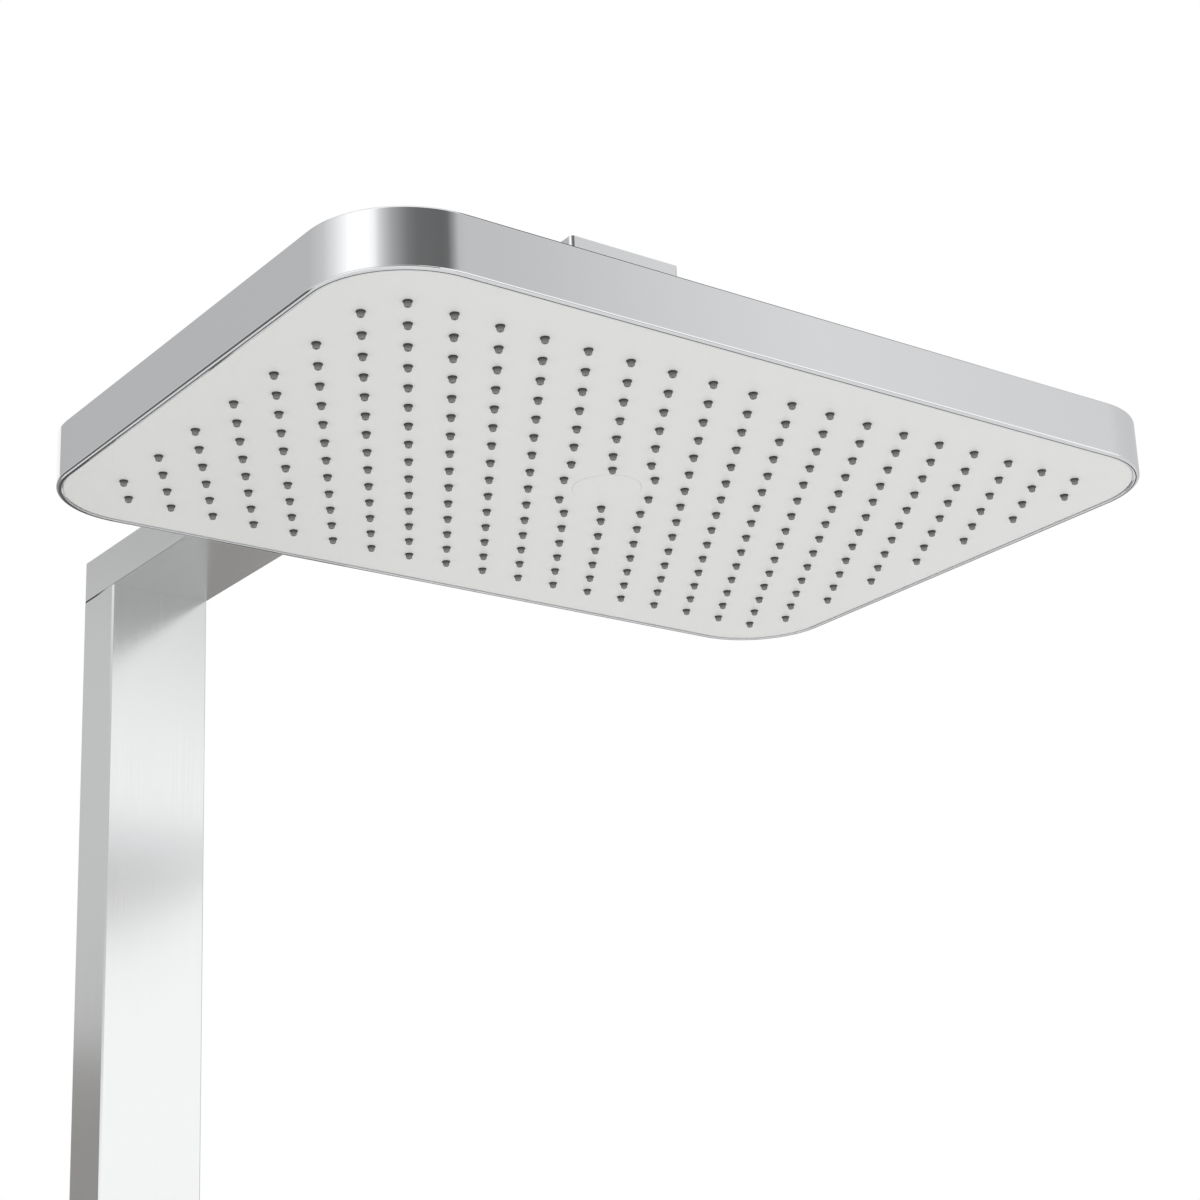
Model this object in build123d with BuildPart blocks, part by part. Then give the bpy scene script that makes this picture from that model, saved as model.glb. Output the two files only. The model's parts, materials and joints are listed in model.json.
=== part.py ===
from build123d import *
import math
import os

# A wall shower column: a slim channel carries a flat arm, and a wide rain head hangs under the arm.
# Frame: +Z up, the wall is the plane Y = 0, the room lies towards -Y, X runs to the right from the room.
# The origin is the middle of the upper wall bracket, on the wall. All sizes are in millimetres.

# Clearances
slide_clearance = 0.3
thread_clearance = 0.08
plug_clearance = 0.15
seat_clearance = 0.2

# Column: an extruded channel, open towards the wall, with a lip along each rear edge
column_width = 50.0
column_depth = 30.0
column_length = 950.0
column_wall = 2.5
column_edge = 0.8
lip_width = 6.0
lip_thickness = 2.0
wall_gap = 1.0
port_size = 6.0
seam_thickness = 0.8
seam_inset = 1.0

# Wall brackets, which the lips of the column slide over
bracket_height = 60.0
bracket_depth = 8.0
lower_bracket_rise = 90.0
bracket_hole_r = 2.75
bracket_hole_spacing = 40.0
wing_gap = 3.0
lock_screw_r = 2.0
lock_screw_recess = 0.4

# Arm: a flat rectangular tube over the column and the head
arm_height = 20.0
arm_wall = 2.0
arm_edge = 0.3
arm_reach = 390.0
arm_overhang = 18.0
arm_cap_thickness = 2.0
arm_plug_depth = 4.0
arm_plug_wall = 1.5

# Corner elbow: carries the arm on the column and turns the water into the arm
leg_length = 50.0
leg_width = 30.0
leg_wing_depth = 5.0
block_length = 60.0
waterway_r = 3.2
grub_r = 2.5
grub_length = 12.0
grub_spacing = 20.0
arm_screw_spacing = 28.0
arm_screw_inset = 18.0

# Water pipes inside the column and the arm
pipe_r = 7.0
pipe_bore_r = 4.4
pipe_gap = 0.8
spigot_length = 18.0

# Foot of the column and the water inlet, a G 1/2 thread
foot_thickness = 3.0
foot_plug_height = 10.0
foot_plug_width = 26.0
inlet_thread_r = 10.48
inlet_thread_length = 16.0
inlet_bore_r = 6.5

# Small screws, drawn with six flats as their nuts are
screw_r = 1.6
screw_head_r = 3.2
screw_head_height = 1.8
screw_length = 8.0
screw_sides = 6

# Outlet block in the arm, and the lock nuts on the clamping threads of both pipes
outlet_block = 23.0
clamp_thread_r = 11.0
lock_nut_flats = 28.0
lock_nut_height = 6.0

# Ball joint
ball_r = 10.5
ball_foot = 8.6
neck_r = 5.5
ball_rise = 9.6
slip_ring_height = 3.0
slip_ring_wall = 2.0
slip_ring_sides = 8
cup_wall = 2.1
cup_half_height = 4.7
boss_below_ball = 1.0
collar_wall = 2.4
collar_above_ball = 7.2
collar_seat_angle = 35.0
seal_thickness = 3.2
feed_r = 8.0
post_r = 4.5
feed_slot_width = 2.4
feed_slot_count = 4

# Rain head
head_drop = 69.0
head_width = 350.0
head_depth = 240.0
head_corner_r = 35.0
rim_height = 21.0
rim_edge_bevel = 0.8
shell_wall = 2.4
face_recess = 0.4
face_gap = 0.4
face_thickness = 3.0
face_bevel = 1.2
chamber_wall = 4.0
chamber_ceiling = 3.5

# Centre cap and the screw behind it
cap_r = 12.8
cap_thickness = 1.6
face_boss_r = 7.0
face_boss_height = 3.0
centre_screw_r = 1.9
centre_head_r = 4.0
centre_head_height = 2.2
centre_screw_length = 9.0

# Nozzle field: staggered rows, with a ring of nozzles around the centre cap
nozzle_pitch = 17.1
nozzle_row_spacing = 13.6
nozzle_rows = 15
nozzles_in_long_row = 19
nozzle_ring_r = 19.2
nozzle_ring_count = 6
nozzle_base_r = 1.9
nozzle_length = 2.0
nozzle_draft = 10.0
nozzle_sides = 4

# Places across the column
column_back = -wall_gap
column_front = column_back - column_depth
column_middle = (column_back + column_front) / 2
channel_back = column_back - lip_thickness
channel_front = column_front + column_wall
channel_middle = (channel_back + channel_front) / 2
channel_depth = channel_back - channel_front
channel_width = column_width - 2 * column_wall
slot_width = channel_width - 2 * lip_width
port_x = (channel_width - port_size) / 2
port_y = channel_front + port_size / 2
wing_width = channel_width - 2 * wing_gap
wing_back = channel_back - slide_clearance
wing_middle = (wing_back - bracket_depth) / 2
spigot_r = pipe_bore_r - thread_clearance
riser_y = -bracket_depth - pipe_gap - pipe_r

# Heights along the column
leg_bottom = bracket_height / 2
column_top = leg_bottom + leg_length
column_bottom = column_top - column_length
grub_z = (leg_bottom + column_top) / 2
lower_bracket_z = column_bottom + lower_bracket_rise
foot_bottom = column_bottom - foot_thickness
foot_plug_top = column_bottom + foot_plug_height
foot_nut_bottom = foot_bottom - lock_nut_height
inlet_bottom = foot_nut_bottom - inlet_thread_length

# Places along the arm
arm_under = column_top + seam_thickness
arm_floor = arm_under + arm_wall
arm_top = arm_under + arm_height
arm_axis_z = (arm_under + arm_top) / 2
arm_inner_width = column_width - 2 * arm_wall
arm_inner_height = arm_height - 2 * arm_wall
block_height = arm_inner_height - plug_clearance
block_top = arm_floor + block_height
tube_back = column_back - arm_cap_thickness
tube_front = arm_cap_thickness - arm_reach - arm_overhang
leg_back = min(channel_back, tube_back) - slide_clearance
leg_front = channel_front + slide_clearance
leg_middle = (leg_back + leg_front) / 2
leg_depth = leg_back - leg_front
block_back = tube_back - arm_plug_depth - slide_clearance
block_front = block_back - block_length
arm_screw_y = block_front + arm_screw_inset
outlet_back = outlet_block / 2 - arm_reach

# Heights of the head and the ball joint
face_z = arm_under - head_drop
face_top = face_z + face_thickness
rim_bottom = face_z - face_recess
head_top = rim_bottom + rim_height
shell_under = head_top - shell_wall
ball_z = head_top + ball_rise
arm_nut_bottom = arm_under - lock_nut_height
ceiling_under = shell_under - chamber_ceiling
post_bottom = face_top + face_boss_height
cap_top = face_z + cap_thickness
centre_head_top = cap_top + seat_clearance + centre_head_height

# Radii of the ball joint, outwards from the ball
slip_inner_r = ball_r + thread_clearance
slip_outer_r = slip_inner_r + slip_ring_wall
cup_r = math.hypot(slip_outer_r, slip_ring_height / 2) + seat_clearance
boss_r = cup_r + cup_wall
collar_bore_r = boss_r + thread_clearance
collar_r = collar_bore_r + collar_wall
seat_r = ball_r + seat_clearance
seal_inner_r = feed_r + seat_clearance
seal_seat = ball_z - math.sqrt(seat_r**2 - seal_inner_r**2) - seal_thickness

# Insets from the rim's outline, each a step further in
face_inset = shell_wall + face_gap
plate_inset = face_inset + slide_clearance
cavity_inset = plate_inset + chamber_wall

os.makedirs("parts", exist_ok=True)


def write(part, name):
    """Label a finished piece and save it under its name."""
    part.label = name
    export_step(part, f"parts/{name}.step")


def head_plane(height):
    """A level plane over the middle of the head."""
    return Plane(origin=(0, -arm_reach, height))


def section_plane(x, y, z):
    """An upright plane that faces the room: X across, height up."""
    return Plane(origin=(x, y, z), x_dir=(1, 0, 0), z_dir=(0, -1, 0))


def head_outline(inset, mode=Mode.ADD):
    """The rim's outline, drawn in by the inset on every side."""
    RectangleRounded(
        head_width - 2 * inset, head_depth - 2 * inset, head_corner_r - inset, mode=mode
    )


def arm_outline(sketch):
    """The arm's outline, with bevelled edges."""
    with Locations((0, arm_axis_z)):
        Rectangle(column_width, arm_height)
    chamfer(sketch.vertices(), arm_edge)


def ring(outer_r, inner_r):
    """A flat ring."""
    Circle(outer_r)
    Circle(inner_r, mode=Mode.SUBTRACT)


def hexagon_nut():
    """The section of a lock nut, across its flats."""
    RegularPolygon(lock_nut_flats / 2, screw_sides, major_radius=False)
    Circle(clamp_thread_r + thread_clearance, mode=Mode.SUBTRACT)


head_axis = Axis((0, -arm_reach, 0), (0, 0, 1))
port_places = [(-port_x, port_y), (port_x, port_y)]
grub_places = [(-grub_spacing / 2, grub_z), (grub_spacing / 2, grub_z)]
arm_screw_places = [(-arm_screw_spacing / 2, arm_screw_y), (arm_screw_spacing / 2, arm_screw_y)]

# Column channel, with a screw port in each front corner and a lock screw hole in each side
with BuildPart() as column_profile:
    with BuildSketch(Plane.XY.offset(column_bottom)) as channel:
        with Locations((0, column_middle)):
            Rectangle(column_width, column_depth)
        chamfer(channel.vertices().group_by(Axis.Y)[0], column_edge)
        with Locations((0, channel_middle)):
            Rectangle(channel_width, channel_depth, mode=Mode.SUBTRACT)
        with Locations((0, column_back - lip_thickness / 2)):
            Rectangle(slot_width, lip_thickness, mode=Mode.SUBTRACT)
        with Locations(*port_places):
            Rectangle(port_size, port_size)
            RegularPolygon(screw_r + thread_clearance, screw_sides, mode=Mode.SUBTRACT)
    extrude(amount=column_length)
    with BuildSketch(Plane.YZ.offset(-column_width / 2)):
        with Locations((wing_middle, lower_bracket_z)):
            RegularPolygon(lock_screw_r + thread_clearance, screw_sides)
    extrude(amount=column_width, mode=Mode.SUBTRACT)
write(column_profile.part, "column_profile")

# Thin seal in the seam between the column and the arm
with BuildPart() as seam_gasket:
    with BuildSketch(Plane.XY.offset(column_top)):
        with Locations((0, column_middle)):
            Rectangle(column_width - 2 * seam_inset, column_depth - 2 * seam_inset)
        with Locations((0, channel_middle)):
            Rectangle(channel_width, channel_depth, mode=Mode.SUBTRACT)
    extrude(amount=seam_thickness)
write(seam_gasket.part, "seam_gasket")


def wall_bracket(name, height):
    """A bracket on the wall: a neck between the column's lips, and wings in front of them."""
    with BuildPart() as bracket:
        with BuildSketch(Plane.XY.offset(height - bracket_height / 2)):
            with Locations((0, -bracket_depth / 2)):
                Rectangle(slot_width - 2 * slide_clearance, bracket_depth)
            with Locations((0, wing_middle)):
                Rectangle(wing_width, bracket_depth + wing_back)
        extrude(amount=bracket_height)
        with Locations(section_plane(0, -bracket_depth, height)):
            with GridLocations(0, bracket_hole_spacing, 1, 2):
                Hole(bracket_hole_r)
    write(bracket.part, name)


wall_bracket("upper_wall_bracket", 0)
wall_bracket("lower_wall_bracket", lower_bracket_z)

# Lock screws through the sides of the column, tight on the wings of the lower bracket
with BuildPart() as lock_screws:
    with BuildSketch(Plane.YZ.offset(wing_width / 2)):
        with Locations((wing_middle, lower_bracket_z)):
            RegularPolygon(lock_screw_r, screw_sides)
    extrude(amount=(column_width - wing_width) / 2 - lock_screw_recess)
    mirror(about=Plane.YZ)
write(lock_screws.part, "lock_screws")

# Corner elbow: a leg in the column, a block in the arm, and one waterway round the corner
with BuildPart() as corner_elbow:
    with BuildSketch(Plane.XY.offset(leg_bottom)):
        with Locations((0, leg_middle)):
            Rectangle(leg_width, leg_depth)
        with Locations((0, leg_back - leg_wing_depth / 2)):
            Rectangle(wing_width, leg_wing_depth)
    extrude(amount=arm_floor - leg_bottom)
    with BuildSketch(Plane.XZ.offset(-block_back)):
        with Locations((0, arm_floor + block_height / 2)):
            Rectangle(arm_inner_width - 2 * plug_clearance, block_height)
    extrude(amount=block_length)
    with BuildSketch(Plane.XY.offset(leg_bottom)):
        with Locations((0, riser_y)):
            Circle(spigot_r)
    extrude(amount=-spigot_length)
    with BuildSketch(Plane.XZ.offset(-block_front)):
        with Locations((0, arm_axis_z)):
            Circle(spigot_r)
    extrude(amount=spigot_length)
    with BuildSketch(Plane.XY.offset(leg_bottom - spigot_length)):
        with Locations((0, riser_y)):
            Circle(waterway_r)
    extrude(amount=arm_axis_z + waterway_r - leg_bottom + spigot_length, mode=Mode.SUBTRACT)
    with BuildSketch(Plane.XZ.offset(-riser_y - waterway_r)):
        with Locations((0, arm_axis_z)):
            Circle(waterway_r)
    extrude(amount=riser_y + waterway_r - block_front + spigot_length, mode=Mode.SUBTRACT)
    with BuildSketch(Plane.XZ.offset(-leg_back)):
        with Locations(*grub_places):
            RegularPolygon(grub_r + thread_clearance, screw_sides)
    extrude(amount=leg_depth, mode=Mode.SUBTRACT)
    with BuildSketch(Plane.XY.offset(block_top)):
        with Locations(*arm_screw_places):
            RegularPolygon(screw_r + thread_clearance, screw_sides)
    extrude(amount=-screw_length, mode=Mode.SUBTRACT)
write(corner_elbow.part, "corner_elbow")

# Grub screws in the leg, tight on the front wall of the column
with BuildPart() as corner_grub_screws:
    with BuildSketch(Plane.XZ.offset(-channel_front)):
        with Locations(*grub_places):
            RegularPolygon(grub_r, screw_sides)
    extrude(amount=-grub_length)
write(corner_grub_screws.part, "corner_grub_screws")

# Arm tube: its floor is slotted over the column and drilled for the outlet
with BuildPart() as arm_profile:
    with BuildSketch(Plane.XZ.offset(-tube_back)) as tube:
        arm_outline(tube)
        with Locations((0, arm_axis_z)):
            Rectangle(arm_inner_width, arm_inner_height, mode=Mode.SUBTRACT)
    extrude(amount=tube_back - tube_front)
    with BuildSketch(Plane.XY.offset(arm_under)):
        with Locations((0, (tube_back + channel_front) / 2)):
            Rectangle(channel_width, tube_back - channel_front)
    extrude(amount=arm_wall, mode=Mode.SUBTRACT)
    with BuildSketch(head_plane(arm_under)):
        Circle(clamp_thread_r + thread_clearance)
    extrude(amount=arm_wall, mode=Mode.SUBTRACT)
    with BuildSketch(Plane.XY.offset(arm_top)):
        with Locations(*arm_screw_places):
            RegularPolygon(screw_r + thread_clearance, screw_sides)
    extrude(amount=-arm_wall, mode=Mode.SUBTRACT)
write(arm_profile.part, "arm_profile")

# Screws on top of the arm, down into the corner elbow
with BuildPart() as arm_screws:
    with BuildSketch(Plane.XY.offset(arm_top)):
        with Locations(*arm_screw_places):
            RegularPolygon(screw_head_r, screw_sides)
    extrude(amount=screw_head_height)
    with BuildSketch(Plane.XY.offset(arm_top)):
        with Locations(*arm_screw_places):
            RegularPolygon(screw_r, screw_sides)
    extrude(amount=-screw_length)
write(arm_screws.part, "arm_screws")


def arm_plug():
    """The hollow plug of an end cap, inside the arm tube."""
    plug_width = arm_inner_width - 2 * plug_clearance
    plug_height = arm_inner_height - 2 * plug_clearance
    with Locations((0, arm_axis_z)):
        Rectangle(plug_width, plug_height)
        Rectangle(
            plug_width - 2 * arm_plug_wall, plug_height - 2 * arm_plug_wall, mode=Mode.SUBTRACT
        )


# Front end cap
with BuildPart() as arm_front_cap:
    with BuildSketch(Plane.XZ.offset(-tube_front)) as front_end:
        arm_outline(front_end)
    extrude(amount=arm_cap_thickness)
    with BuildSketch(Plane.XZ.offset(-tube_front)):
        arm_plug()
    extrude(amount=-arm_plug_depth)
write(arm_front_cap.part, "arm_front_cap")

# Rear end cap, flush with the back of the column
with BuildPart() as arm_rear_cap:
    with BuildSketch(Plane.XZ.offset(-column_back)) as rear_end:
        arm_outline(rear_end)
    extrude(amount=arm_cap_thickness)
    with BuildSketch(Plane.XZ.offset(-tube_back)):
        arm_plug()
    extrude(amount=arm_plug_depth)
write(arm_rear_cap.part, "arm_rear_cap")

# Foot cap under the column, with a plug round the inlet
with BuildPart() as foot_cap:
    with BuildSketch(Plane.XY.offset(foot_bottom)) as foot:
        with Locations((0, column_middle)):
            Rectangle(column_width, column_depth)
        chamfer(foot.vertices().group_by(Axis.Y)[0], column_edge)
    extrude(amount=foot_thickness)
    with BuildSketch(Plane.XY.offset(column_bottom)):
        with Locations((0, leg_middle)):
            Rectangle(foot_plug_width, leg_depth)
    extrude(amount=foot_plug_height)
    with BuildSketch(Plane.XY.offset(foot_bottom)):
        with Locations((0, riser_y)):
            Circle(clamp_thread_r + thread_clearance)
    extrude(amount=foot_thickness + foot_plug_height, mode=Mode.SUBTRACT)
    with BuildSketch(Plane.XY.offset(foot_bottom)):
        with Locations(*port_places):
            RegularPolygon(screw_r + thread_clearance, screw_sides)
    extrude(amount=foot_thickness, mode=Mode.SUBTRACT)
write(foot_cap.part, "foot_cap")

# Screws under the foot, up into the screw ports of the column
with BuildPart() as foot_screws:
    with BuildSketch(Plane.XY.offset(foot_bottom)):
        with Locations(*port_places):
            RegularPolygon(screw_head_r, screw_sides)
    extrude(amount=-screw_head_height)
    with BuildSketch(Plane.XY.offset(foot_bottom)):
        with Locations(*port_places):
            RegularPolygon(screw_r, screw_sides)
    extrude(amount=screw_length)
write(foot_screws.part, "foot_screws")

# Riser pipe: an inlet thread below the foot, a clamping thread in it, and a tube up to the elbow
with BuildPart() as riser_pipe:
    with BuildSketch(section_plane(0, riser_y, 0)):
        with BuildLine():
            Polyline(
                (inlet_bore_r, inlet_bottom),
                (inlet_thread_r, inlet_bottom),
                (inlet_thread_r, foot_nut_bottom),
                (clamp_thread_r, foot_nut_bottom),
                (clamp_thread_r, foot_plug_top),
                (pipe_r, foot_plug_top),
                (pipe_r, leg_bottom),
                (pipe_bore_r, leg_bottom),
                (pipe_bore_r, column_bottom),
                (inlet_bore_r, column_bottom),
                close=True,
            )
        make_face()
    revolve(axis=Axis((0, riser_y, 0), (0, 0, 1)))
write(riser_pipe.part, "riser_pipe")

# Arm pipe: a tube from the elbow to a block over the head, and a neck down to the hollow ball
with BuildPart() as arm_pipe:
    with BuildSketch(head_plane(arm_floor)):
        Rectangle(outlet_block, outlet_block)
    extrude(amount=block_height)
    with BuildSketch(Plane.XZ.offset(-block_front)):
        with Locations((0, arm_axis_z)):
            Circle(pipe_r)
    extrude(amount=block_front - outlet_back)
    with BuildSketch(section_plane(0, -arm_reach, ball_z)):
        ball_foot_r = math.sqrt(ball_r**2 - ball_foot**2)
        neck_start = math.sqrt(ball_r**2 - neck_r**2)
        with BuildLine():
            ThreePointArc((ball_foot_r, -ball_foot), (ball_r, 0), (neck_r, neck_start))
            Polyline(
                (neck_r, neck_start),
                (neck_r, arm_nut_bottom - ball_z),
                (clamp_thread_r, arm_nut_bottom - ball_z),
                (clamp_thread_r, arm_floor - ball_z),
                (0, arm_floor - ball_z),
                (0, -ball_foot),
                (ball_foot_r, -ball_foot),
            )
        make_face()
    revolve(axis=head_axis)
    with BuildSketch(head_plane(ball_z - ball_foot)):
        Circle(waterway_r)
    extrude(amount=arm_axis_z + pipe_bore_r - ball_z + ball_foot, mode=Mode.SUBTRACT)
    with BuildSketch(Plane.XZ.offset(-block_front)):
        with Locations((0, arm_axis_z)):
            Circle(pipe_bore_r)
    extrude(amount=block_front + arm_reach, mode=Mode.SUBTRACT)
write(arm_pipe.part, "arm_pipe")

# Lock nuts: one jams the riser pipe under the foot, one clamps the arm pipe under the arm
with BuildPart() as lock_nuts:
    with BuildSketch(Plane.XY.offset(foot_nut_bottom)):
        with Locations((0, riser_y)):
            hexagon_nut()
    extrude(amount=lock_nut_height)
    with BuildSketch(head_plane(arm_nut_bottom)):
        hexagon_nut()
    extrude(amount=lock_nut_height)
write(lock_nuts.part, "lock_nuts")

# Slip ring round the middle of the ball, which bears on it with flats
with BuildPart() as slip_ring:
    with BuildSketch(head_plane(ball_z - slip_ring_height / 2)):
        RegularPolygon(slip_outer_r, slip_ring_sides)
        RegularPolygon(slip_inner_r, slip_ring_sides, major_radius=False, mode=Mode.SUBTRACT)
    extrude(amount=slip_ring_height)
write(slip_ring.part, "slip_ring")

# Collar nut: screws on the boss and holds the ball from above with a conical seat
with BuildPart() as collar_nut:
    with BuildSketch(section_plane(0, -arm_reach, ball_z)):
        lean = math.radians(collar_seat_angle)
        seat_middle = Vector(seat_r * math.cos(lean), seat_r * math.sin(lean))
        seat_slope = Vector(-math.sin(lean), math.cos(lean))
        seat_start = seat_middle - seat_slope * ((seat_middle.Y - cup_half_height) / seat_slope.Y)
        mouth = seat_middle + seat_slope * ((collar_above_ball - seat_middle.Y) / seat_slope.Y)
        with BuildLine():
            Polyline(
                (collar_bore_r, -ball_rise),
                (collar_r, -ball_rise),
                (collar_r, collar_above_ball),
                (mouth.X, collar_above_ball),
                (seat_start.X, cup_half_height),
                (collar_bore_r, cup_half_height),
                close=True,
            )
        make_face()
    revolve(axis=head_axis)
write(collar_nut.part, "collar_nut")

# Inlet boss: a cup under the ball, threaded in the chamber plate, with feed slots in its floor
# and a post that takes the centre screw
with BuildPart() as inlet_boss:
    with BuildSketch(section_plane(0, -arm_reach, 0)):
        with BuildLine():
            Polyline(
                (0, ceiling_under),
                (boss_r, ceiling_under),
                (boss_r, ball_z - boss_below_ball),
                (cup_r, ball_z - boss_below_ball),
                (cup_r, seal_seat),
                (0, seal_seat),
                close=True,
            )
        make_face()
    revolve(axis=head_axis)
    with BuildSketch(head_plane(ceiling_under)):
        RegularPolygon(post_r, screw_sides)
    extrude(amount=post_bottom - ceiling_under)
    with BuildSketch(head_plane(ceiling_under)):
        with PolarLocations((post_r + feed_r) / 2, feed_slot_count):
            Rectangle(feed_r - post_r, feed_slot_width)
    extrude(amount=seal_seat - ceiling_under, mode=Mode.SUBTRACT)
    with BuildSketch(head_plane(post_bottom)):
        RegularPolygon(centre_screw_r + thread_clearance, screw_sides)
    extrude(amount=centre_head_top + centre_screw_length - post_bottom, mode=Mode.SUBTRACT)
write(inlet_boss.part, "inlet_boss")

# Seal under the ball
with BuildPart() as ball_seal:
    with BuildSketch(head_plane(seal_seat)):
        ring(cup_r - seat_clearance, seal_inner_r)
    extrude(amount=seal_thickness)
write(ball_seal.part, "ball_seal")

# Head shell: a tray with rounded corners, open below, that is the rim and the top in one piece
with BuildPart() as head_shell:
    with BuildSketch(head_plane(rim_bottom)):
        head_outline(0)
    extrude(amount=rim_height)
    chamfer(head_shell.faces().sort_by(Axis.Z)[0].edges(), rim_edge_bevel)
    with BuildSketch(head_plane(rim_bottom)):
        head_outline(shell_wall)
    extrude(amount=rim_height - shell_wall, mode=Mode.SUBTRACT)
    with BuildSketch(head_plane(shell_under)):
        Circle(boss_r + slide_clearance)
    extrude(amount=shell_wall, mode=Mode.SUBTRACT)
write(head_shell.part, "head_shell")

# Chamber plate: the lid of the water chamber, welded to the face and threaded for the inlet boss
with BuildPart() as chamber_plate:
    with BuildSketch(head_plane(face_top)):
        head_outline(plate_inset)
    extrude(amount=shell_under - face_top)
    with BuildSketch(head_plane(face_top)):
        head_outline(cavity_inset)
    extrude(amount=ceiling_under - face_top, mode=Mode.SUBTRACT)
    with BuildSketch(head_plane(ceiling_under)):
        Circle(boss_r + thread_clearance)
    extrude(amount=chamber_ceiling, mode=Mode.SUBTRACT)
write(chamber_plate.part, "chamber_plate")


def nozzle_points():
    """Middle of every nozzle: staggered rows without the centre, and a ring round the cap."""
    points = []
    for row in range(nozzle_rows):
        count = nozzles_in_long_row - (row + 1) % 2
        y = (row - (nozzle_rows - 1) / 2) * nozzle_row_spacing
        for place in range(count):
            x = (place - (count - 1) / 2) * nozzle_pitch
            if math.hypot(x, y) > nozzle_ring_r:
                points.append((x, y - arm_reach, face_z))
    for place in range(nozzle_ring_count):
        turn = 2 * math.pi * place / nozzle_ring_count
        across = nozzle_ring_r * math.cos(turn)
        along = nozzle_ring_r * math.sin(turn)
        points.append((across, along - arm_reach, face_z))
    return points


# One tapered nozzle, with its base at the origin
with BuildPart() as nozzle:
    with BuildSketch():
        RegularPolygon(nozzle_base_r, nozzle_sides)
    extrude(amount=-nozzle_length)
    draft(nozzle.faces().filter_by(Axis.Z, reverse=True), Plane.XY, -nozzle_draft)

# Spray face: a bevelled plate with a centre boss and the soft nozzles moulded into it
with BuildPart() as spray_face:
    with BuildSketch(head_plane(face_z)):
        head_outline(face_inset)
    extrude(amount=face_thickness)
    chamfer(spray_face.faces().sort_by(Axis.Z)[0].edges(), face_bevel)
    with BuildSketch(head_plane(face_top)):
        RegularPolygon(face_boss_r, screw_sides)
    extrude(amount=face_boss_height)
    with BuildSketch(head_plane(face_z)):
        Circle(cap_r + seat_clearance)
    extrude(amount=cap_thickness, mode=Mode.SUBTRACT)
    with BuildSketch(head_plane(cap_top)):
        RegularPolygon(centre_head_r + seat_clearance, screw_sides)
    extrude(amount=centre_head_top - cap_top, mode=Mode.SUBTRACT)
    with BuildSketch(head_plane(centre_head_top)):
        RegularPolygon(centre_screw_r + thread_clearance, screw_sides)
    extrude(amount=post_bottom - centre_head_top, mode=Mode.SUBTRACT)
    with Locations(*nozzle_points()):
        add(nozzle.part)
write(spray_face.part, "spray_face")

# Centre screw into the post, and the cap over its head
with BuildPart() as centre_screw:
    with BuildSketch(head_plane(centre_head_top)):
        RegularPolygon(centre_head_r, screw_sides)
    extrude(amount=-centre_head_height)
    with BuildSketch(head_plane(centre_head_top)):
        RegularPolygon(centre_screw_r, screw_sides)
    extrude(amount=centre_screw_length)
write(centre_screw.part, "centre_screw")

with BuildPart() as centre_cap:
    with BuildSketch(head_plane(face_z)):
        Circle(cap_r)
    extrude(amount=cap_thickness)
write(centre_cap.part, "centre_cap")
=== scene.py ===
# %% [markdown]
# # A rainfall shower column in Blender
#
# The solids of this shower column come packed from CAD: a slim upright channel, a flat arm on top and a
# wide rain head under the arm. This lesson dresses them. The pieces that the eye rests on, such as the
# chrome tray of the head and its soft nozzles, are modelled again with rounder edges, and every other
# solid gets a finish of its own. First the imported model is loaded, and its outer box is kept, because the
# dressed model must not grow out of it. Blender counts in metres here, so small sizes are written with mm.

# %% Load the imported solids
import bpy
import bmesh
import json
import math
from mathutils import Matrix, Vector


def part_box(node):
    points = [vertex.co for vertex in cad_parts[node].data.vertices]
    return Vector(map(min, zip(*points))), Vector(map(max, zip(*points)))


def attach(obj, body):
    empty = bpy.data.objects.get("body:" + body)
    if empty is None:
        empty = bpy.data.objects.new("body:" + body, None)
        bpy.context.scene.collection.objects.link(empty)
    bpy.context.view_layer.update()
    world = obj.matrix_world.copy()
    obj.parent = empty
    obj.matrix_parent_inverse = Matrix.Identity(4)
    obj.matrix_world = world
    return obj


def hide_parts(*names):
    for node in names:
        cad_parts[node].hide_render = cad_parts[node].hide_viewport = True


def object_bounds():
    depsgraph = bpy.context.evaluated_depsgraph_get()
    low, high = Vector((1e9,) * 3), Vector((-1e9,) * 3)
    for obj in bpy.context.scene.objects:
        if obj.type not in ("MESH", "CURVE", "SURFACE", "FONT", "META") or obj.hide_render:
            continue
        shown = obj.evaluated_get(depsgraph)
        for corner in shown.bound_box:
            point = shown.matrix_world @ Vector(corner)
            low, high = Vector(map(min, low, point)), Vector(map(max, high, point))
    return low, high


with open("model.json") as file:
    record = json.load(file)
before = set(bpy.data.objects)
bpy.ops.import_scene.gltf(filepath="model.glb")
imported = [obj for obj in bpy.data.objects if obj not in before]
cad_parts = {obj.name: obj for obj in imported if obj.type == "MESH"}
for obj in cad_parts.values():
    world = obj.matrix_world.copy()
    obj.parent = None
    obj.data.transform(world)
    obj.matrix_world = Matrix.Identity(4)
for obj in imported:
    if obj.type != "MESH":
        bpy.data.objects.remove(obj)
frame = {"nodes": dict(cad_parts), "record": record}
cad_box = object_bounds()
solids = frame["nodes"]
mm = 0.001
print("solids:", len(solids), "box:", [tuple(round(c, 4) for c in corner) for corner in cad_box])

# %% [markdown]
# ## Colour and nodes
#
# Colours are easiest to read off a photograph as sRGB hex values, but the shader works in linear light, so
# one function converts them. A second small function adds a shader node, sets it up and links it, so
# that each material below reads as a list of its nodes.


# %% Helpers for colours and shader nodes
def linear(hex_code):
    """An sRGB hex colour as linear RGBA."""
    channels = [int(hex_code[i:i + 2], 16) / 255 for i in (1, 3, 5)]
    return [c / 12.92 if c <= 0.04045 else ((c + 0.055) / 1.055) ** 2.4 for c in channels] + [1.0]


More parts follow.
